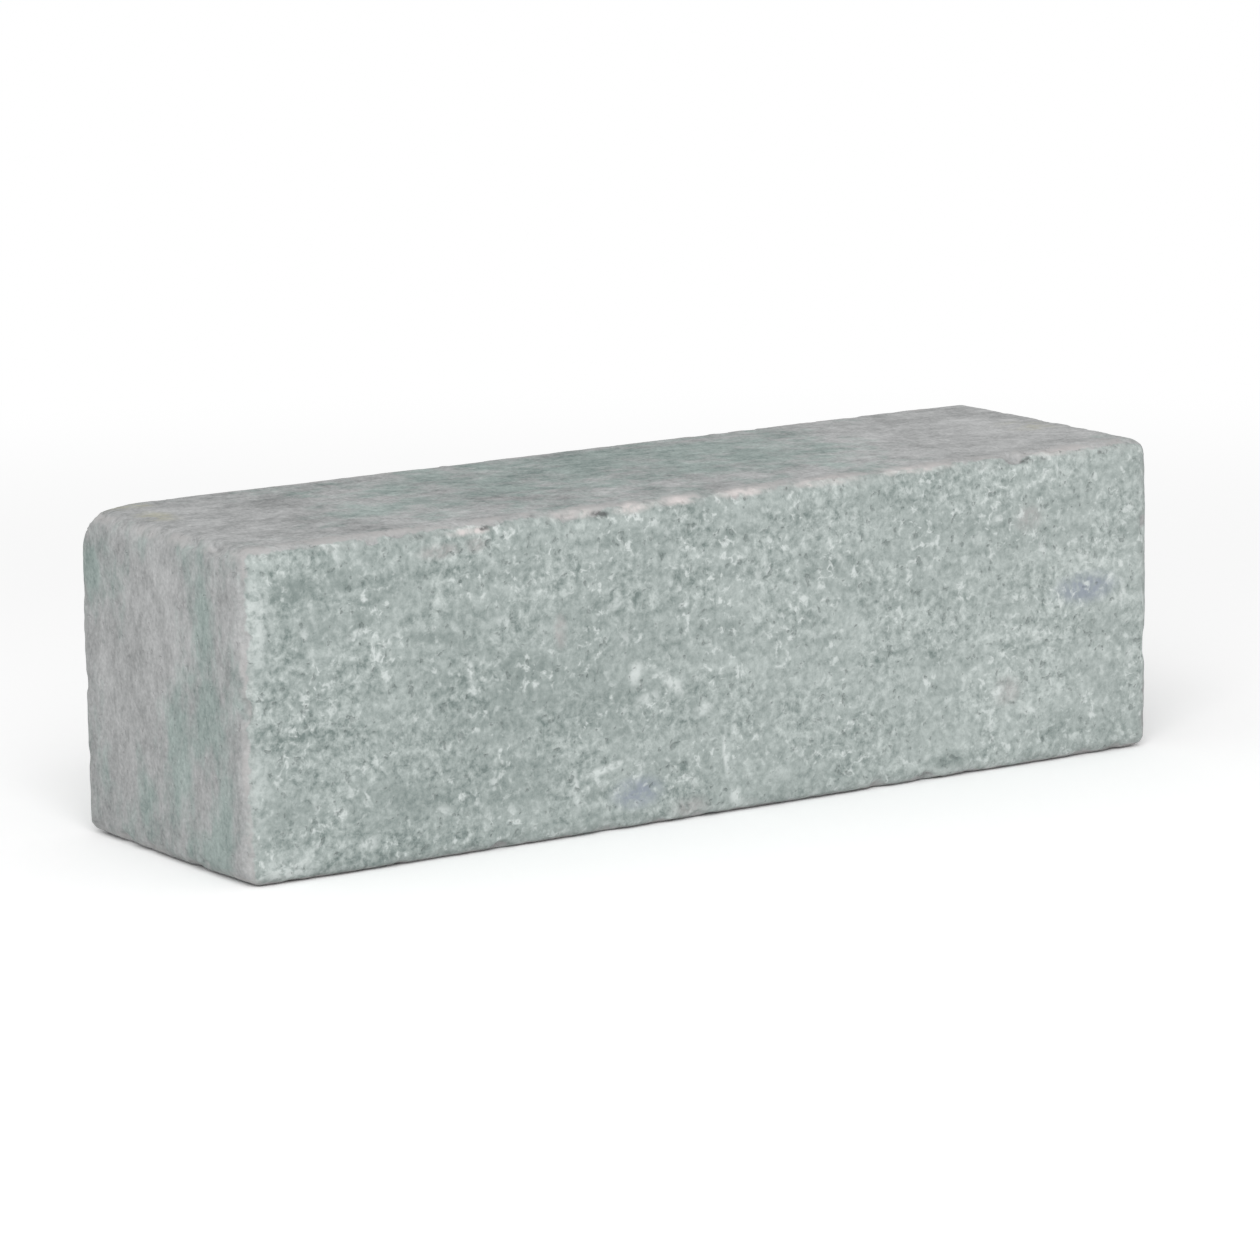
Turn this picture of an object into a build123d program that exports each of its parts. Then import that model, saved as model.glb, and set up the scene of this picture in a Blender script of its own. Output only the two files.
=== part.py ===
from build123d import *
import math
import os
import random

# Tumbled concrete stacking block, in millimetres.
# X runs along the wall, -Y is the fair face, Z is up. The origin is the centre of the bottom bed.

# The block as pressed
length = 500.0
depth = 150.0
height = 150.0

# Mean width of the worn band along each kind of arris, measured on one face
front_bed_wear = 3.8
back_bed_wear = 5.0
end_bed_wear = 5.0
upright_wear = 5.2

# How the bands wander, and how they widen towards the corners
wear_scatter = 0.28
corner_flare = 0.4
flare_reach = 20.0
station_pitch = 50.0
wander_share = 0.2

# A band is a flattened round: the overhang sets how steeply it leaves the faces
overhang = 0.07
overrun = 4.0

# Flats where the drum knocked the corners off: how far each reaches along X, Y and Z
smallest_corner_reach = 6.0
usual_corner_reach = 9.0
largest_corner_reach = 14.0
dropped_corner = (-1, 1, 1)
dropped_corner_reach = (38.0, 18.0, 20.0)

# Shell-shaped spalls where the arrises were struck: how round and how deep they are
spall_pitch = 76.0
smallest_spall_radius = 9.0
usual_spall_radius = 15.0
largest_spall_radius = 32.0
smallest_spall_bite = 0.4
usual_spall_bite = 1.0
largest_spall_bite = 2.6
spall_lean = 24.0
spall_end_margin = 0.05

tumbling_seed = 11

axes = (Vector(1, 0, 0), Vector(0, 1, 0), Vector(0, 0, 1))
half_size = (length / 2, depth / 2, height / 2)
block_centre = Vector(0, 0, height / 2)

# Share of a band's control width at which its curve crosses the face
root = math.sqrt(overhang)
crossing_share = (1 - root) * (1 + overhang) / (1 + root)

# Depth of a band along the diagonal, as a share of its width
diagonal_share = (1 - overhang) / 4 * math.sqrt(2) / crossing_share


def pressed_block():
    """The block as it leaves the press, with flat faces and sharp arrises."""
    return Box(length, depth, height, align=(Align.CENTER, Align.CENTER, Align.MIN))


def arrises():
    """Every arris as its axis and the sides of the block that it lies on."""
    for axis in range(3):
        for side_b in (-1, 1):
            for side_c in (-1, 1):
                yield axis, side_b, side_c


def corners():
    """Every corner as its side of the block along X, Y and Z."""
    for side_x in (-1, 1):
        for side_y in (-1, 1):
            for side_z in (-1, 1):
                yield side_x, side_y, side_z


def arris_plane(axis, side_b, side_c):
    """A plane square to an arris at its start, with x and y pointing into the block."""
    b, c = (axis + 1) % 3, (axis + 2) % 3
    turn = side_b * side_c
    start = (
        block_centre
        + axes[b] * (side_b * half_size[b])
        + axes[c] * (side_c * half_size[c])
        - axes[axis] * (turn * half_size[axis])
    )
    return Plane(origin=start, x_dir=axes[b] * -side_b, z_dir=axes[axis] * turn)


def mean_wear(axis, side_b):
    """Upright arrises, the short ones over the ends, and the long ones at the front or back."""
    if axis == 2:
        return upright_wear
    if axis == 1:
        return end_bed_wear
    return front_bed_wear if side_b < 0 else back_bed_wear


def worn_section(width_x, width_y, at):
    """What is worn off, square to the arris: the corner outside a flattened round."""
    reach_x = width_x / crossing_share
    reach_y = width_y / crossing_share
    out_x = reach_y * overhang
    out_y = reach_x * overhang
    clear = overrun + max(out_x, out_y)
    band = Bezier((reach_x, -out_y), (0, 0), (-out_x, reach_y))
    outside = Polyline(
        (-out_x, reach_y),
        (-clear, reach_y),
        (-clear, -clear),
        (reach_x, -clear),
        (reach_x, -out_y),
    )
    return Pos(0, 0, at) * make_face([band, outside])


def worn_band(axis, side_b, side_c, chance):
    """The whole of one arris's wear, lofted through sections that wander along it."""
    run = 2 * half_size[axis]
    mean = mean_wear(axis, side_b)
    steps = max(3, round(run / station_pitch))
    sections = []
    for step in range(steps + 1):
        at = run * step / steps
        if 0 < step < steps:
            at += chance.uniform(-wander_share, wander_share) * run / steps
        flare = math.exp(-at / flare_reach) + math.exp(-(run - at) / flare_reach)
        width = mean * (1 + corner_flare * flare)
        if step == 0:
            at -= overrun
        if step == steps:
            at += overrun
        width_x = width * (1 + chance.uniform(-wear_scatter, wear_scatter))
        width_y = width * (1 + chance.uniform(-wear_scatter, wear_scatter))
        sections.append(worn_section(width_x, width_y, at))
    return arris_plane(axis, side_b, side_c).location * loft(sections, ruled=True)


def spalls(axis, side_b, side_c, chance):
    """Shallow shell-shaped scoops where an arris was struck."""
    run = 2 * half_size[axis]
    band_depth = mean_wear(axis, side_b) * diagonal_share
    plane = arris_plane(axis, side_b, side_c)
    scoops = []
    for _ in range(max(1, round(run / spall_pitch))):
        at = run * chance.uniform(spall_end_margin, 1 - spall_end_margin)
        radius = chance.triangular(smallest_spall_radius, largest_spall_radius, usual_spall_radius)
        bite = chance.triangular(smallest_spall_bite, largest_spall_bite, usual_spall_bite)
        lean = math.radians(45 + chance.uniform(-spall_lean, spall_lean))
        out = radius - bite - band_depth
        centre = Vector(-out * math.cos(lean), -out * math.sin(lean), at)
        scoops.append(Pos(*plane.from_local_coords(centre)) * Sphere(radius))
    return scoops


def corner_flat(sides, reaches):
    """What is knocked off one corner, outside a flat through a point on each of its arrises."""
    corner = block_centre + Vector(*(side * half for side, half in zip(sides, half_size)))
    outward = Vector(*(side / reach for side, reach in zip(sides, reaches)))
    flat = Plane(origin=corner - outward.normalized() / outward.length, z_dir=outward)
    size = 4 * max(reaches)
    return flat.location * Box(size, size, size, align=(Align.CENTER, Align.CENTER, Align.MIN))


def knocked_corners(chance):
    """The flats on all the corners. The dropped corner lost the most, mainly along the block."""
    flats = []
    for sides in corners():
        reaches = [
            chance.triangular(smallest_corner_reach, largest_corner_reach, usual_corner_reach)
            for _ in sides
        ]
        if sides == dropped_corner:
            reaches = dropped_corner_reach
        flats.append(corner_flat(sides, reaches))
    return flats


def stacking_block():
    """The finished block: pressed, then tumbled."""
    worn = knocked_corners(random.Random(tumbling_seed))
    for number, arris in enumerate(arrises(), start=1):
        chance = random.Random(tumbling_seed + number)
        worn.append(worn_band(*arris, chance))
        worn.extend(spalls(*arris, chance))
    return pressed_block() - worn


if __name__ == "__main__":
    os.makedirs("parts", exist_ok=True)
    block = stacking_block()
    export_step(block, "parts/stacking_block.step")
    box = block.bounding_box()
    print("block", len(block.solids()), "solid", round(block.volume / 1e6, 3), "litres", box.size)
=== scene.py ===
import math

import bmesh
import bpy
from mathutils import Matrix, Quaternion, Vector


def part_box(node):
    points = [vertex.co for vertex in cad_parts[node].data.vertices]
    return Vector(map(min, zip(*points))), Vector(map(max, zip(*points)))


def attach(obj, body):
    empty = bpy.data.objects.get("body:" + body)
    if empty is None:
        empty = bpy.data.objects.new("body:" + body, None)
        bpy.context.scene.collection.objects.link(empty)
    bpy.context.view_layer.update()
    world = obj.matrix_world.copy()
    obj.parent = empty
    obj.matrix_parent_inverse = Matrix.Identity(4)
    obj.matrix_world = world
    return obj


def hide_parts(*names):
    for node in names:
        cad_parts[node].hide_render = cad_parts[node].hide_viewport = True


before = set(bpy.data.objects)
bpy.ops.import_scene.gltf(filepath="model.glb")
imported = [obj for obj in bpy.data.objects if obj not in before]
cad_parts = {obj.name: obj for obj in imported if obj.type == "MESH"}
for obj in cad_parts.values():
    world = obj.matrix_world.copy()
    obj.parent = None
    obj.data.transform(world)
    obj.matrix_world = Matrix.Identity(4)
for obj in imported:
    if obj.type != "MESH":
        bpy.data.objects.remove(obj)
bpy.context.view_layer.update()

# A tumbled concrete stacking block: one pressed piece with a fair face, streaked ends and worn arrises.
# Sizes are in metres. X runs along the block, -Y is the fair face and Z is up.

mm = 0.001
low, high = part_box("stacking_block")
middle = (low + high) / 2
half = (high - low) / 2
print("Frame loaded, block", [round(v / mm, 1) for v in high - low], "mm")


# Nodes from Python

class Socket:
    # One output of a node. Python's own maths on it adds Math nodes.
    def __init__(self, maker, link):
        self.maker = maker
        self.link = link

    def __add__(self, other):
        return self.maker.maths("ADD", self, other)

    def __radd__(self, other):
        return self.maker.maths("ADD", other, self)

    def __sub__(self, other):
        return self.maker.maths("SUBTRACT", self, other)

    def __rsub__(self, other):
        return self.maker.maths("SUBTRACT", other, self)

    def __mul__(self, other):
        return self.maker.maths("MULTIPLY", self, other)

    def __rmul__(self, other):
        return self.maker.maths("MULTIPLY", other, self)

    def __truediv__(self, other):
        return self.maker.maths("DIVIDE", self, other)

    def __rtruediv__(self, other):
        return self.maker.maths("DIVIDE", other, self)


class NodeMaker:
    # Adds nodes to one tree, a shader's or Geometry Nodes'.
    def __init__(self, tree):
        self.tree = tree

    def node(self, kind, settings=None, values=None, output=0):
        made = self.tree.nodes.new(kind)
        for name, value in (settings or {}).items():
            setattr(made, name, value)
        for key, value in (values or {}).items():
            if isinstance(value, Socket):
                self.tree.links.new(value.link, made.inputs[key])
            else:
                made.inputs[key].default_value = value
        return Socket(self, made.outputs[output]) if made.outputs else None

    def maths(self, operation, *values):
        return self.node("ShaderNodeMath", {"operation": operation}, dict(enumerate(values)))

    def vector(self, operation, *values):
        return self.node("ShaderNodeVectorMath", {"operation": operation}, dict(enumerate(values)))

    def scaled(self, vector, factor):
        return self.node("ShaderNodeVectorMath", {"operation": "SCALE"}, {0: vector, "Scale": factor})

    def rise(self, value, start, end):
        # 0 at start and 1 at end, with soft shoulders
        soft = {"interpolation_type": "SMOOTHSTEP"}
        return self.node("ShaderNodeMapRange", soft, {0: value, 1: start, 2: end})

    def axes(self, place):
        split = self.tree.nodes.new("ShaderNodeSeparateXYZ")
        self.tree.links.new(place.link, split.inputs[0])
        return [Socket(self, output) for output in split.outputs]

    def join(self, x, y, z):
        return self.node("ShaderNodeCombineXYZ", values={0: x, 1: y, 2: z})

    def noise(self, place, grain, detail, roughness=0.5, shift=None, output=0):
        # grain is the size of a feature in metres. A shift gives another stretch of the same noise.
        if shift:
            place = self.vector("ADD", place, shift)
        values = {"Vector": place, "Scale": 1 / grain, "Detail": detail, "Roughness": roughness}
        return self.node("ShaderNodeTexNoise", values=values, output=output)

    def swing(self, place, grain, detail, roughness=0.5, shift=None):
        # The same noise about zero, so that it moves what it is added to both ways
        return self.noise(place, grain, detail, roughness, shift) - 0.5

    def blend(self, amount, first, second):
        # Sockets 6 and 7 are the Mix node's two colours, and output 2 is their mix
        return self.node("ShaderNodeMix", {"data_type": "RGBA"}, {0: amount, 6: first, 7: second}, 2)


def tone(red, green, blue):
    # A colour as seen on a screen, 0 to 255, made linear for the shader
    def linear(value):
        share = value / 255
        return share / 12.92 if share <= 0.04045 else ((share + 0.055) / 1.055) ** 2.4

    return linear(red), linear(green), linear(blue), 1.0


def nearest(maker, place):
    # How far a point is in from the nearest head, long face and bed
    x, y, z = maker.axes(place)
    inX = half.x - maker.maths("ABSOLUTE", x - middle.x)
    inY = half.y - maker.maths("ABSOLUTE", y - middle.y)
    inZ = half.z - maker.maths("ABSOLUTE", z - middle.z)
    return inX, inY, inZ


def fromArris(maker, place):
    # The second smallest of the three distances, which is 0 on an arris and grows across each face
    inX, inY, inZ = nearest(maker, place)
    lesser = maker.maths("MINIMUM", inX, inY)
    greater = maker.maths("MAXIMUM", inX, inY)
    return maker.maths("MAXIMUM", lesser, maker.maths("MINIMUM", greater, inZ))


def directionFrom(azimuth, elevation):
    # Towards a point that looks at the block, with azimuth 0 in front of the fair face
    turn = math.radians(azimuth)
    lift = math.radians(elevation)
    return Vector((math.sin(turn) * math.cos(lift), -math.cos(turn) * math.cos(lift), math.sin(lift)))


# The camera

camera = {
    "azimuth": -33.6,
    "elevation": 10.8,
    "roll": -0.85,
    "distance": 2.8,
    "lens": 171.9,
    "sensorWidth": 36,
    "clipStart": 0.05,
    "clipEnd": 100,
}


def makeCamera():
    back = directionFrom(camera["azimuth"], camera["elevation"])
    lens = bpy.data.cameras.new("studioCamera")
    lens.sensor_width = camera["sensorWidth"]
    lens.lens = camera["lens"]
    lens.clip_start = camera["clipStart"]
    lens.clip_end = camera["clipEnd"]
    made = bpy.data.objects.new("studioCamera", lens)
    made.rotation_mode = "QUATERNION"
    made.location = middle + back * camera["distance"]
    roll = Quaternion((0, 0, 1), math.radians(camera["roll"]))
    made.rotation_quaternion = (-back).to_track_quat("-Z", "Y") @ roll
    bpy.context.scene.collection.objects.link(made)
    bpy.context.scene.camera = made


makeCamera()
print("Camera placed")


# Tumbled concrete, as a material

finish = {
    "sageDark": tone(124, 136, 133),
    "sageLight": tone(206, 214, 211),
    "fleck": tone(224, 230, 228),
    # painted shade in the pores of the fair face and the pocks of the plain faces
    "poreShade": tone(104, 114, 112),
    "damp": tone(134, 145, 142),
    "blue": tone(150, 158, 172),
    "blush": tone(186, 178, 178),
    "greyDark": tone(134, 136, 136),
    "greyLight": tone(204, 205, 205),
    "greenDark": tone(122, 136, 133),
    "greenLight": tone(190, 202, 198),
    "dust": tone(186, 184, 183),
    # a painted highlight on the ledges of the top front arris
    "ledgeHighlight": tone(220, 213, 211),
    "yellow": tone(188, 186, 160),
    # painted shade inside small pits on the arrises
    "pitShade": tone(70, 71, 72),
    "roughness": 0.9,
    "specular": 0.3,
}

# In the looks below, a Tone is how far a noise moves the colour between its dark and light ends. A Range
# is where a noise sets in and is full, and an Edge is the same for a distance from a face or arris.

fineGrain = {"size": 1.8 * mm, "roughness": 0.65}

fairLook = {
    "bendSize": 7 * mm,  # the noise that breaks up the speckle's outlines
    "bendReach": 3.4 * mm,
    "speckleSize": 4.6 * mm,
    "speckleRoughness": 0.68,
    "mottleSize": 20 * mm,
    "broadSize": 110 * mm,
    "bandSize": 9 * mm,
    "bandStretch": 0.12,
    "bandSlope": 0.03,
    "livelySize": 30 * mm,  # patches with more contrast
    "livelyRange": (0.58, 0.4),
    "livelyShift": (0.7, 0.1, 0.5),
    "meanTone": 0.475,
    "speckleTone": 1.25,
    "livelySpeckleTone": 0.7,
    "fineTone": 0.4,
    "livelyFineTone": 0.3,
    "mottleTone": 0.42,
    "broadTone": 0.3,
    "bandTone": 0.4,
    "slopeTone": 0.4,  # for each metre along the block
    "breakSize": 3.8 * mm,  # breaks up the placed marks
    "breakRange": (0.38, 0.58),
    "unbroken": 0.45,
    "crowdSize": 24 * mm,  # where the flecks crowd
    "crowdRange": (0.42, 0.62),
    "crowdShift": (0.4, 0.8, 0.2),
    "wormSize": 7.5 * mm,  # thin curled flecks
    "wormWidth": 0.05,
    "wormRange": (0.48, 0.66),
    "wormShift": (1.7, 0.4, 2.3),
    "islandSize": 4.4 * mm,
    "islandRange": (0.56, 0.76),
    "islandShift": (0.3, 2.4, 1.3),
    "islandSpeckle": 0.5,
    "scattered": 0.3,  # the share of island flecks outside the crowds
    "islandShare": 0.9,
    "rubbedUnbroken": 0.2,
    "fleckShare": 0.85,
    # pores: dented in the relief and darkened with painted shade
    "poreSize": 4.2 * mm,
    "poreRange": (0.38, 0.26),
    "poreShift": (0.2, 3.1, 0.8),
    "poreShadeShare": 0.45,
    "speckleRelief": 0.4 * mm,
    "fineRelief": 0.15 * mm,
    "poreRelief": 0.35 * mm,
}

plainLook = {
    "streakRatio": 3,  # of a streak to the grit
    "cloudSize": 44 * mm,
    "streakTone": 0.75,
    "gritTone": 0.75,
    "fineTone": 0.8,
    "cloudTone": 0.35,
    "meanTone": 0.5,
    "greenSize": 20 * mm,
    "greenRange": (0.42, 0.74),
    "greenShift": (0.3, 0.7, 0.1),
    "greenTone": 0.05,
    # pocks: darkened with painted shade
    "pockSize": 5 * mm,
    "pockRange": (0.31, 0.24),
    "pockShift": (0.9, 0.2, 0.6),
    "pockShadeShare": 0.35,
}
headLook = {"grit": 4 * mm, "stretch": (1.0, 1.0, 0.6), "shift": (0.0, 0.0, 0.0), "contrast": 1.0}
bedLook = {"grit": 6 * mm, "stretch": (0.9, 1.0, 1.0), "shift": (0.4, 0.2, 0.9), "contrast": 1.25}

wearLook = {
    "wobbleSize": 6 * mm,  # makes every edge below wander
    "wobbleRoughness": 0.65,
    "fairEdge": (3.4 * mm, 2.4 * mm),
    "fairWander": 5 * mm,
    "headEdge": (5 * mm, 2 * mm),
    "headWander": 9 * mm,
    "sideFade": 10 * mm,
    "breakSize": 7 * mm,
    "breakRange": (0.42, 0.6),
    "dustEdge": (6.5 * mm, 3 * mm),
    "dustWander": 9 * mm,
    "dustSize": 16 * mm,
    "dustRange": (0.38, 0.6),
    "dustShares": (0.15, 0.5),  # everywhere on an arris, and more in patches
    "bandEdge": (12 * mm, 7 * mm),  # the dusty band on the beds beside the long arrises
    "bandWander": 16 * mm,
    "bandHeight": (4 * mm, 1 * mm),
    "bandShares": (0.1, 0.7),
    "dustOnFair": 0.2,
    # the painted highlight on the top front arris: where it sets in, and its shares
    "highlightEdge": (9 * mm, 3 * mm),
    "highlightShares": (0.4, 0.6),
    # the painted shade in pits on the arrises, down to its share of the colour
    "markRise": 3 * mm,
    "pitSize": 5.5 * mm,
    "pitRange": (0.41, 0.31),
    "pitShift": (0.5, 0.3, 0.1),
    "pitEdge": (4.5 * mm, 2 * mm),
    "pitPatchSize": 34 * mm,
    "pitPatchRange": (0.48, 0.62),
    "pitPatchShift": (0.2, 0.9, 0.4),
    "pitShare": 0.7,
    "placedPitEdge": (6 * mm, 3 * mm),
    "placedPitWander": 9 * mm,
    "placedPitRange": (0.56, 0.44),
    "placedPitShares": (0.2, 0.8),
    "pitShadeShare": 0.75,
    "relief": 1.2 * mm,
    "wornSheen": 0.05,
    "wobbleSheen": 0.08,
}

# Marks on the fair face, in mm: middle x and z, half length, half height, turn in degrees, strength
fleckMarks = [
    (-135, 83, 2.5, 6, 0, 1.0),
    (-194, 107, 6, 2.5, 20, 0.8),
    (-117, 104, 5, 2.5, -20, 0.6),
    (-57, 105, 5, 3, 30, 0.6),
    (-53, 88, 4, 4, 0, 0.6),
    (-47, 72, 4, 7, -20, 0.9),
    (-27, 65, 11, 3.5, -38, 0.9),
    (-40, 59, 8, 4, 10, 0.7),
    (-10, 51, 6, 3.5, 20, 0.8),
    (-64, 30, 15, 2.2, 12, 1.0),
    (-80, 22, 2.2, 11, 4, 0.8),
    (-45, 27, 2.2, 8, -25, 0.6),
    (2, 29, 2.2, 12, 4, 1.0),
    (7, 8, 4, 6, 10, 0.9),
    (-16, 17, 2.5, 6, 0, 0.6),
    (-151, 22, 5, 3, 0, 0.7),
    (-189, 13, 6, 4, 10, 0.8),
    (157, 38, 6, 3, 30, 1.0),
    (176, 27, 7, 2.5, -10, 0.9),
    (184, 103, 3, 5, 10, 0.8),
    (209, 98, 5, 3, 0, 0.8),
    (232, 77, 3, 6, 0, 0.8),
    (237, 46, 3, 6, 0, 0.7),
    (159, 120, 4, 3, 0, 0.7),
    (66, 112, 5, 2.5, -40, 0.7),
    (20, 109, 4, 3, 0, 0.5),
    (107, 40, 4, 3, 0, 0.5),
    (-230, 7, 16, 7, 5, 0.8),
    (-243, 118, 8, 28, 0, 0.6),
    (-244, 50, 6, 40, 0, 0.35),
]
dampMarks = [
    (-150, 100, 26, 4, -12, 0.6),
    (-112, 86, 40, 5, -14, 0.5),
    (-85, 68, 62, 13, -14, 0.45),
    (-135, 62, 30, 8, 0, 0.4),
    (-60, 48, 40, 6, -8, 0.3),
    (-225, 130, 14, 7, 10, 0.8),
    (-203, 133, 12, 8, 0, 0.6),
    (-186, 118, 14, 8, 20, 0.5),
    (-205, 112, 24, 9, 0, 0.4),
    (-225, 30, 22, 6, 0, 0.5),
    (-180, 33, 12, 5, 0, 0.5),
    (-120, 26, 60, 12, 0, 0.25),
    (-68, 19, 9, 4, 0, 0.7),
    (-16, 52, 5, 3, 0, 0.5),
    (95, 92, 60, 10, -6, 0.2),
    (129, 9, 14, 4, 0, 0.8),
]
blueMarks = [
    (-47, 17, 15, 8, 0, 0.8),
    (210, 82, 20, 8, 0, 0.8),
]
blushMarks = [
    (-87, 96, 4, 9, 0, 0.5),
    (-150, 139, 12, 4, 0, 0.5),
    (-130, 140, 7, 4, 0, 0.4),
    (163, 38, 9, 8, 0, 0.4),
    (176, 119, 9, 7, 0, 0.4),
    (-18, 6, 12, 6, 0, 0.4),
]

# Along the top front arris, the same way: pale broken ledges with a painted highlight, and the pits beside
# them with painted shade
ledgeHighlightMarks = [
    (-133, 146, 12, 2.2, 0, 1.0),
    (-78, 147.5, 14, 2.4, 0, 0.8),
    (-47, 147, 10, 2.6, 0, 1.0),
    (-24, 148, 14, 2.2, 0, 1.0),
    (14, 148, 16, 2.2, 0, 0.9),
    (60, 148, 20, 2.0, 0, 0.8),
    (112, 148.5, 24, 1.8, 0, 0.7),
    (196, 148.5, 20, 1.6, 0, 0.5),
]
pitShadeMarks = [
    (-161, 146.5, 3, 1.6, 0, 0.7),
    (-126, 147, 4, 1.7, 0, 1.0),
    (-84, 148, 3, 1.2, 0, 0.5),
    (-63, 146.5, 5, 1.9, 0, 1.0),
    (-53, 147.5, 3, 1.3, 0, 0.7),
    (-8, 146.5, 2.5, 1.2, 0, 0.5),
    (176, 146, 4, 1.6, 0, 0.9),
    (185, 146.5, 3, 1.3, 0, 0.7),
    (221, 146, 3, 1.4, 0, 0.8),
]

# More or less green on the left head: middle y and z, half width, half height, turn, strength
headGreen = [
    (-42, 92, 12, 46, 4, 0.18),
    (-52, 40, 14, 44, 0, 0.2),
    (-16, 48, 24, 24, 20, 0.18),
    (20, 24, 24, 16, 0, 0.1),
    (-40, 10, 22, 14, 0, 0.16),
    (62, 122, 9, 16, 0, 0.26),
    (10, 106, 26, 40, 0, -0.2),
    (40, 66, 22, 40, 0, -0.12),
]

# And on the beds, with their dark and yellow places: middle x and y, half length and width, turn, strength
bedGreen = [
    (20, 20, 150, 60, 0, 0.2),
    (-140, -20, 50, 30, 0, 0.12),
    (-225, 10, 70, 80, 0, -0.2),
    (200, 0, 80, 100, 0, -0.25),
]
bedDark = [
    (20, 40, 190, 55, 0, 0.05),
    (170, 0, 110, 90, 0, -0.2),
]
bedYellow = [
    (-230, 62, 14, 12, 0, 0.5),
    (-233, 30, 10, 16, 0, 0.5),
    (226, -8, 14, 18, 0, 0.35),
]
markSpread = 1.25  # a mark ends this far out, in half lengths
markCore = 0.8  # and is at full strength from here inwards, where 1 is its middle


def marked(maker, across, up, marks):
    # Soft ellipses on a face, added up, each its strength in its middle
    spot = maker.join(across, up, 0.0)
    spread = markSpread * mm
    ball = {"gradient_type": "SPHERICAL"}
    total = 0.0
    for middleAcross, middleUp, halfAcross, halfUp, turn, strength in marks:
        own = maker.node("ShaderNodeMapping", {"vector_type": "TEXTURE"}, {
            "Vector": spot,
            "Location": (middleAcross * mm, middleUp * mm, 0),
            "Rotation": (0, 0, math.radians(turn)),
            "Scale": (halfAcross * spread, halfUp * spread, 1),
        })
        inwards = maker.node("ShaderNodeTexGradient", ball, {"Vector": own}, "Fac")
        amount = maker.rise(inwards, 0.0, markCore)
        total = maker.maths("MULTIPLY_ADD", amount, strength, total)
    return total


def fairFace(maker, place, fine, frontSide):
    # Sage grey with a dense pale speckle, soft mottling, flecks, pores darkened with painted shade, and
    # rubbed marks
    look = fairLook
    x, y, z = maker.axes(place)
    bend = maker.noise(place, look["bendSize"], 1.0, output=1)
    bent = maker.vector("ADD", place, maker.scaled(bend, look["bendReach"]))
    speckle = maker.swing(bent, look["speckleSize"], 3.0, look["speckleRoughness"])
    mottle = maker.swing(place, look["mottleSize"], 2.0, 0.6)
    broad = maker.swing(place, look["broadSize"], 1.0)
    along = maker.join(x * look["bandStretch"], y, z + x * look["bandSlope"])
    band = maker.swing(along, look["bandSize"], 1.0)
    lively = maker.noise(place, look["livelySize"], 1.0, shift=look["livelyShift"])
    lively = maker.rise(lively, *look["livelyRange"])
    value = look["meanTone"] + speckle * (look["speckleTone"] + look["livelySpeckleTone"] * lively)
    value = value + fine * (look["fineTone"] + look["livelyFineTone"] * lively)
    value = value + mottle * look["mottleTone"] + broad * look["broadTone"]
    value = value + band * look["bandTone"] + x * look["slopeTone"]
    colour = maker.blend(value, finish["sageDark"], finish["sageLight"])

    broken = maker.rise(maker.noise(bent, look["breakSize"], 2.0, 0.6), *look["breakRange"])
    patchy = frontSide * (look["unbroken"] + (1 - look["unbroken"]) * broken)
    for marks, name in ((dampMarks, "damp"), (blushMarks, "blush"), (blueMarks, "blue")):
        colour = maker.blend(marked(maker, x, z, marks) * patchy, colour, finish[name])

    crowd = maker.noise(place, look["crowdSize"], 1.0, shift=look["crowdShift"])
    crowd = maker.rise(crowd, *look["crowdRange"])
    curl = maker.maths("ABSOLUTE", maker.swing(bent, look["wormSize"], 1.0, shift=look["wormShift"]))
    islands = maker.noise(bent, look["islandSize"], 2.0, shift=look["islandShift"])
    islands = islands + speckle * look["islandSpeckle"]
    worms = maker.rise(curl, look["wormWidth"], 0.0) * maker.rise(islands, *look["wormRange"]) * crowd
    flecks = maker.rise(islands, *look["islandRange"])
    flecks = flecks * (look["scattered"] + (1 - look["scattered"]) * crowd)
    flecks = maker.maths("MAXIMUM", flecks, worms) * look["islandShare"]
    rubbed = marked(maker, x, z, fleckMarks) * frontSide
    rubbed = rubbed * (look["rubbedUnbroken"] + (1 - look["rubbedUnbroken"]) * broken)
    flecks = maker.maths("MAXIMUM", flecks, rubbed)
    colour = maker.blend(flecks * look["fleckShare"], colour, finish["fleck"])
    pores = maker.noise(bent, look["poreSize"], 2.0, 0.6, shift=look["poreShift"])
    pores = maker.rise(pores, *look["poreRange"])
    # Painted shade in the pores, which the relief also dents
    colour = maker.blend(pores * look["poreShadeShare"], colour, finish["poreShade"])
    relief = speckle * look["speckleRelief"] + fine * look["fineRelief"] - pores * look["poreRelief"]
    return colour, relief


def plainFace(maker, place, fine, own, green, dark):
    # Neutral grey, clouded and a little streaked, with green in places
    look = plainLook
    moved = maker.vector("ADD", place, own["shift"])
    drawn = maker.vector("MULTIPLY", moved, own["stretch"])
    streaks = maker.swing(drawn, look["streakRatio"] * own["grit"], 2.0, 0.6)
    grit = maker.swing(drawn, own["grit"], 2.0, 0.6)
    cloud = maker.swing(drawn, look["cloudSize"], 1.0)
    value = streaks * look["streakTone"] + grit * look["gritTone"]
    value = value + fine * look["fineTone"] + cloud * look["cloudTone"]
    value = look["meanTone"] + value * own["contrast"] - dark
    amount = maker.noise(drawn, look["greenSize"], 3.0, 0.7, shift=look["greenShift"])
    amount = maker.rise(amount + green, *look["greenRange"])
    deep = maker.blend(amount, finish["greyDark"], finish["greenDark"])
    pale = maker.blend(amount, finish["greyLight"], finish["greenLight"])
    colour = maker.blend(value - amount * look["greenTone"], deep, pale)
    # Pocks, darkened with the same painted shade as the pores
    pocks = maker.noise(moved, look["pockSize"], 2.0, shift=look["pockShift"])
    pocks = maker.rise(pocks, *look["pockRange"])
    return maker.blend(pocks * look["pockShadeShare"], colour, finish["poreShade"])


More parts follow.
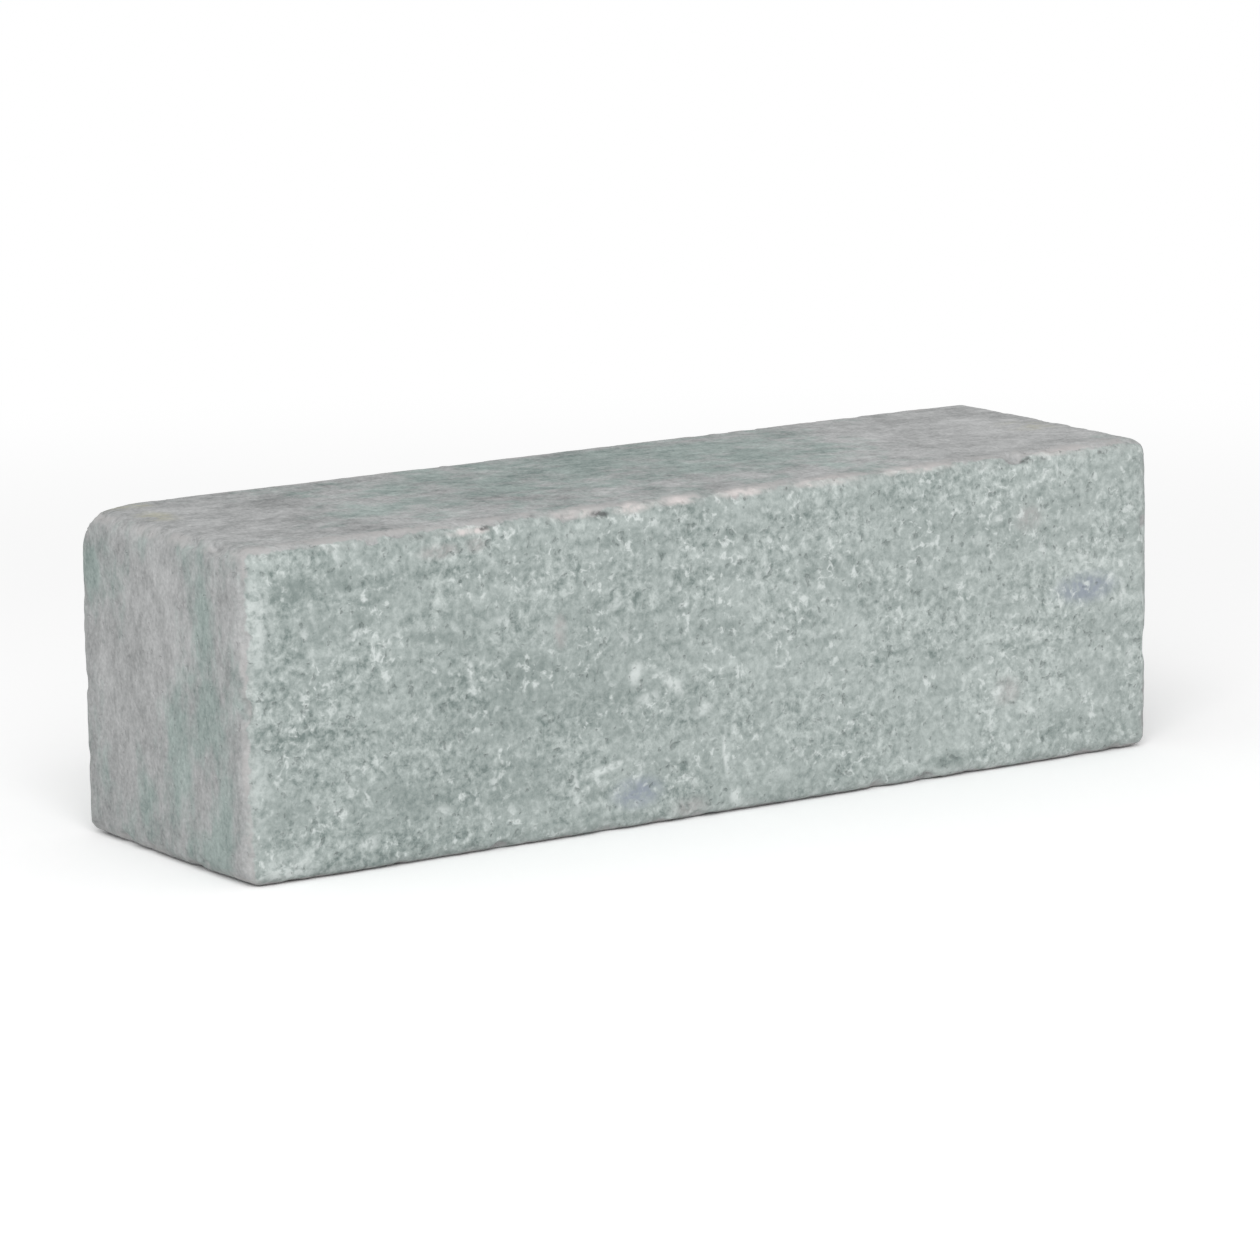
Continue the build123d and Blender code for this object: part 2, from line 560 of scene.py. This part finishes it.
def tumbledConcrete():
    look = wearLook
    material = bpy.data.materials.new("tumbledConcrete")
    material.use_nodes = True
    tree = material.node_tree
    tree.nodes.clear()
    maker = NodeMaker(tree)
    place = maker.node("ShaderNodeTexCoord", output="Object")
    x, y, z = maker.axes(place)
    wobble = maker.swing(place, look["wobbleSize"], 2.0, look["wobbleRoughness"])
    inX, inY, inZ = nearest(maker, place)
    arris = fromArris(maker, place)
    frontSide = maker.rise(y, 0, -look["sideFade"])
    leftSide = maker.rise(x, 0, -look["sideFade"])
    topSide = maker.rise(z, middle.z, middle.z + look["sideFade"])

    # Each kind of face, and where they meet
    fine = maker.swing(place, fineGrain["size"], 2.0, fineGrain["roughness"])
    fairColour, relief = fairFace(maker, place, fine, frontSide)
    headGreenness = marked(maker, y, z, headGreen) * leftSide
    headColour = plainFace(maker, place, fine, headLook, headGreenness, 0.0)
    bedGreenness = marked(maker, x, y, bedGreen)
    bedDarkness = marked(maker, x, y, bedDark)
    bedColour = plainFace(maker, place, fine, bedLook, bedGreenness, bedDarkness)
    broken = maker.rise(maker.noise(place, look["breakSize"], 2.0, 0.6), *look["breakRange"])
    yellow = marked(maker, x, y, bedYellow) * topSide * broken
    fair = maker.rise(inY + wobble * look["fairWander"], *look["fairEdge"])
    head = maker.rise(inX + wobble * look["headWander"], *look["headEdge"])
    plainColour = maker.blend(yellow, maker.blend(head, bedColour, headColour), finish["yellow"])
    colour = maker.blend(fair, plainColour, fairColour)

    def shared(shares, amount):
        return shares[0] + shares[1] * amount

    # Dust on the arrises, and in a band on the beds beside the long ones
    worn = maker.rise(arris + wobble * look["dustWander"], *look["dustEdge"])
    patchy = maker.rise(maker.noise(place, look["dustSize"], 2.0, 0.6), *look["dustRange"])
    band = maker.rise(inY + wobble * look["bandWander"], *look["bandEdge"])
    band = band * maker.rise(inZ, *look["bandHeight"]) * shared(look["bandShares"], patchy)
    dusty = maker.maths("MAXIMUM", worn * shared(look["dustShares"], patchy), band)
    dusty = dusty * (1 - (1 - look["dustOnFair"]) * fair)
    colour = maker.blend(dusty, colour, finish["dust"])

    # Painted highlight on pale broken ledges along the top front arris
    up = z + wobble * look["markRise"]
    ledgeHighlights = marked(maker, x, up, ledgeHighlightMarks) * maker.rise(inY, *look["highlightEdge"]) * frontSide
    colour = maker.blend(ledgeHighlights * shared(look["highlightShares"], broken), colour, finish["ledgeHighlight"])

    # Painted shade: dark pits, some by chance on every arris and some placed on the top front one,
    # darkened as the shade in small chips
    pitNoise = maker.noise(place, look["pitSize"], 3.0, 0.6, shift=look["pitShift"])
    pitted = maker.noise(place, look["pitPatchSize"], 1.0, shift=look["pitPatchShift"])
    pitted = maker.rise(pitted, *look["pitPatchRange"])
    chancePitShade = maker.rise(pitNoise, *look["pitRange"]) * maker.rise(arris, *look["pitEdge"]) * pitted
    placed = marked(maker, x + wobble * look["placedPitWander"], up, pitShadeMarks) * frontSide
    placed = placed * maker.rise(inY, *look["placedPitEdge"])
    placed = placed * shared(look["placedPitShares"], maker.rise(pitNoise, *look["placedPitRange"]))
    dark = maker.maths("MAXIMUM", chancePitShade * look["pitShare"], placed)
    colour = maker.blend(dark * look["pitShadeShare"], colour, finish["pitShade"])

    height = relief + worn * wobble * look["relief"]
    bump = maker.node("ShaderNodeBump", values={"Strength": 1.0, "Distance": 1.0, "Height": height})
    roughness = finish["roughness"] - worn * look["wornSheen"] + wobble * look["wobbleSheen"]
    shader = maker.node("ShaderNodeBsdfPrincipled", values={
        "Base Color": colour,
        "Roughness": roughness,
        "Specular IOR Level": finish["specular"],
        "Normal": bump,
    })
    maker.node("ShaderNodeOutputMaterial", values={"Surface": shader})
    return material


# The block's surface

block = {
    "gridSize": 2.4 * mm,  # of the closed surface laid over the CAD model
    "mergeDistance": 0.001 * mm,
    "fineReach": 7.5 * mm,  # how far from an arris that grid is halved
    "wearFade": (1.3, 0.4),  # in chip reaches from an arris: where its wear starts, and is full
    "chipFade": (0.5, 0.25),  # in chip sizes from a chip's middle: its rim, and its full depth
}

# What the weathering takes off the surface, by the names of its inputs. Sizes are the features' own.
weather = {
    "Seed": 7.0,
    "Soften Steps": 1,
    "Undulation": 0.35 * mm,
    "Undulation Size": 45 * mm,
    "Grain Relief": 0.9 * mm,
    "Grain Size": 7 * mm,
    "Grain On Faces": 0.2,  # the share of the grain's relief away from the arrises
    "Chip Depth": 2.4 * mm,
    "Chip Size": 13 * mm,
    "Chip Reach": 7 * mm,
    "Chip Share": 0.6,
}


def meshFrom(item):
    # The object's mesh as its modifiers leave it, as a plain mesh
    graph = bpy.context.evaluated_depsgraph_get()
    return bpy.data.meshes.new_from_object(item.evaluated_get(graph))


def closedSurface(node):
    # An even grid over the CAD model's shape
    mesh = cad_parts[node].data.copy()
    work = bmesh.new()
    work.from_mesh(mesh)
    bmesh.ops.remove_doubles(work, verts=work.verts, dist=block["mergeDistance"])
    work.to_mesh(mesh)
    work.free()
    item = bpy.data.objects.new("surfaceWork", mesh)
    bpy.context.scene.collection.objects.link(item)
    remesh = item.modifiers.new("grid", "REMESH")
    remesh.mode = "VOXEL"
    remesh.voxel_size = block["gridSize"]
    made = meshFrom(item)
    bpy.data.objects.remove(item)
    return made


def refineArrises(mesh):
    # Halves the grid where the surface turns
    def nearArris(edge):
        spot = (edge.verts[0].co + edge.verts[1].co) / 2 - middle
        gaps = sorted((half.x - abs(spot.x), half.y - abs(spot.y), half.z - abs(spot.z)))
        return gaps[1] < block["fineReach"]

    work = bmesh.new()
    work.from_mesh(mesh)
    near = [edge for edge in work.edges if nearArris(edge)]
    bmesh.ops.subdivide_edges(work, edges=near, cuts=1, use_grid_fill=True)
    bmesh.ops.triangulate(work, faces=[face for face in work.faces if len(face.verts) > 4])
    work.to_mesh(mesh)
    work.free()


def weatheringTree():
    # Softens the arrises, then takes undulation, grain and chips off the surface, inside the CAD box
    tree = bpy.data.node_groups.new("weathering", "GeometryNodeTree")
    interface = tree.interface
    interface.new_socket("Surface", in_out="INPUT", socket_type="NodeSocketGeometry")
    interface.new_socket("Material", in_out="INPUT", socket_type="NodeSocketMaterial")
    for name, value in weather.items():
        kind = "NodeSocketInt" if isinstance(value, int) else "NodeSocketFloat"
        interface.new_socket(name, in_out="INPUT", socket_type=kind)
    interface.new_socket("Block", in_out="OUTPUT", socket_type="NodeSocketGeometry")
    maker = NodeMaker(tree)
    inputs = tree.nodes.new("NodeGroupInput")
    names = ("Surface", "Material", *weather)
    given = {name: Socket(maker, inputs.outputs[name]) for name in names}

    place = maker.node("GeometryNodeInputPosition")
    seeded = maker.vector("ADD", place, maker.join(given["Seed"], given["Seed"], given["Seed"]))
    wearStart, wearFull = (given["Chip Reach"] * share for share in block["wearFade"])
    turned = maker.rise(fromArris(maker, place), wearStart, wearFull)
    softened = maker.node(
        "GeometryNodeBlurAttribute",
        {"data_type": "FLOAT_VECTOR"},
        {"Value": place, "Iterations": given["Soften Steps"], "Weight": turned},
    )
    soft = maker.node("GeometryNodeSetPosition", values={
        "Geometry": given["Surface"], "Position": softened,
    })

    waves = maker.noise(seeded, given["Undulation Size"], 1.0) * given["Undulation"]
    onFaces = given["Grain On Faces"]
    grain = maker.noise(seeded, given["Grain Size"], 2.0) * given["Grain Relief"]
    grain = grain * (onFaces + (1 - onFaces) * turned)
    cells = {"Vector": place, "Scale": 1 / given["Chip Size"]}
    out = maker.node("ShaderNodeTexVoronoi", values=cells)
    lot = maker.axes(maker.node("ShaderNodeTexVoronoi", values=cells, output=1))[0]
    struck = maker.rise(lot, 1 - given["Chip Share"], 1.0) * maker.rise(out, *block["chipFade"])
    depth = waves + grain + struck * turned * given["Chip Depth"]
    normal = maker.node("GeometryNodeInputNormal")
    inwards = maker.scaled(normal, 0 - depth)
    carved = maker.node("GeometryNodeSetPosition", values={"Geometry": soft, "Offset": inwards})
    inside = maker.vector("MINIMUM", maker.vector("MAXIMUM", place, tuple(low)), tuple(high))
    kept = maker.node("GeometryNodeSetPosition", values={"Geometry": carved, "Position": inside})
    smooth = maker.node("GeometryNodeSetShadeSmooth", values={"Geometry": kept})
    realized = maker.node("GeometryNodeRealizeInstances", values={"Geometry": smooth})
    coated = maker.node("GeometryNodeSetMaterial", values={
        "Geometry": realized, "Material": given["Material"],
    })
    outputs = tree.nodes.new("NodeGroupOutput")
    tree.links.new(coated.link, outputs.inputs["Block"])
    return tree


def setInput(modifier, name, value):
    for item in modifier.node_group.interface.items_tree:
        if item.item_type == "SOCKET" and item.in_out == "INPUT" and item.name == name:
            modifier[item.identifier] = value


def makeBlock(material):
    mesh = closedSurface("stacking_block")
    print("Surface laid,", len(mesh.polygons), "faces")
    refineArrises(mesh)
    print("Arrises refined,", len(mesh.polygons), "faces")
    item = bpy.data.objects.new("blockWork", mesh)
    bpy.context.scene.collection.objects.link(item)
    weathering = item.modifiers.new("weathering", "NODES")
    weathering.node_group = weatheringTree()
    setInput(weathering, "Material", material)
    for name, value in weather.items():
        setInput(weathering, name, value)
    final = meshFrom(item)
    bpy.data.objects.remove(item)
    final.name = "tumbledBlock"
    piece = bpy.data.objects.new("tumbledBlock", final)
    bpy.context.scene.collection.objects.link(piece)
    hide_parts("stacking_block")
    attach(piece, "root")
    triangles = sum(len(face.vertices) - 2 for face in final.polygons)
    print("Block weathered,", triangles, "triangles")


makeBlock(tumbledConcrete())


# The studio

studio = {
    "worldStrength": 0.62,
    "keyAzimuth": -34.0,
    "keyElevation": 36.0,
    "keyDistance": 3.0,
    "keySize": 2.0,
    "keyPower": 42.0,
    "floorColour": 0.9,
    "floorLift": 0.3,  # added to the floor's colour as the camera sees it
    "floorReach": 20.0,
    "whiteFrom": 0.5,  # the floor turns plain white to the camera between these distances
    "whiteUntil": 1.3,
}
white = (1, 1, 1, 1)


def makeWorld():
    world = bpy.data.worlds.new("studioWorld")
    world.use_nodes = True
    tree = world.node_tree
    tree.nodes.clear()
    maker = NodeMaker(tree)
    seen = maker.node("ShaderNodeLightPath", output="Is Camera Ray")
    strength = studio["worldStrength"] + seen * (1 - studio["worldStrength"])
    sky = maker.node("ShaderNodeBackground", values={"Color": white, "Strength": strength})
    maker.node("ShaderNodeOutputWorld", values={"Surface": sky})
    bpy.context.scene.world = world


def makeKeyLight():
    back = directionFrom(studio["keyAzimuth"], studio["keyElevation"])
    lamp = bpy.data.lights.new("softKey", "AREA")
    lamp.shape = "SQUARE"
    lamp.size = studio["keySize"]
    lamp.energy = studio["keyPower"]
    made = bpy.data.objects.new("softKey", lamp)
    made.location = middle + back * studio["keyDistance"]
    made.rotation_mode = "QUATERNION"
    made.rotation_quaternion = (-back).to_track_quat("-Z", "Y")
    bpy.context.scene.collection.objects.link(made)


def makeFloor():
    reach = studio["floorReach"]
    mesh = bpy.data.meshes.new("studioFloor")
    corners = [(-reach, -reach, 0), (reach, -reach, 0), (reach, reach, 0), (-reach, reach, 0)]
    mesh.from_pydata(corners, [], [(0, 1, 2, 3)])
    floor = bpy.data.objects.new("studioFloor", mesh)
    bpy.context.scene.collection.objects.link(floor)
    material = bpy.data.materials.new("studioFloor")
    material.use_nodes = True
    tree = material.node_tree
    tree.nodes.clear()
    maker = NodeMaker(tree)
    place = maker.node("ShaderNodeTexCoord", output="Object")
    away = maker.node("ShaderNodeVectorMath", {"operation": "LENGTH"}, {0: place}, "Value")
    seen = maker.node("ShaderNodeLightPath", output="Is Camera Ray")
    plain = maker.rise(away, studio["whiteFrom"], studio["whiteUntil"]) * seen
    shade = studio["floorColour"] + seen * studio["floorLift"]
    matt = maker.node("ShaderNodeBsdfDiffuse", values={"Color": maker.join(shade, shade, shade)})
    glow = maker.node("ShaderNodeEmission", values={"Color": white, "Strength": 1.0})
    surface = maker.node("ShaderNodeMixShader", values={0: plain, 1: matt, 2: glow})
    maker.node("ShaderNodeOutputMaterial", values={"Surface": surface})
    mesh.materials.append(material)


makeWorld()
makeKeyLight()
makeFloor()
bpy.context.scene.view_settings.view_transform = "Standard"
print("Studio built")
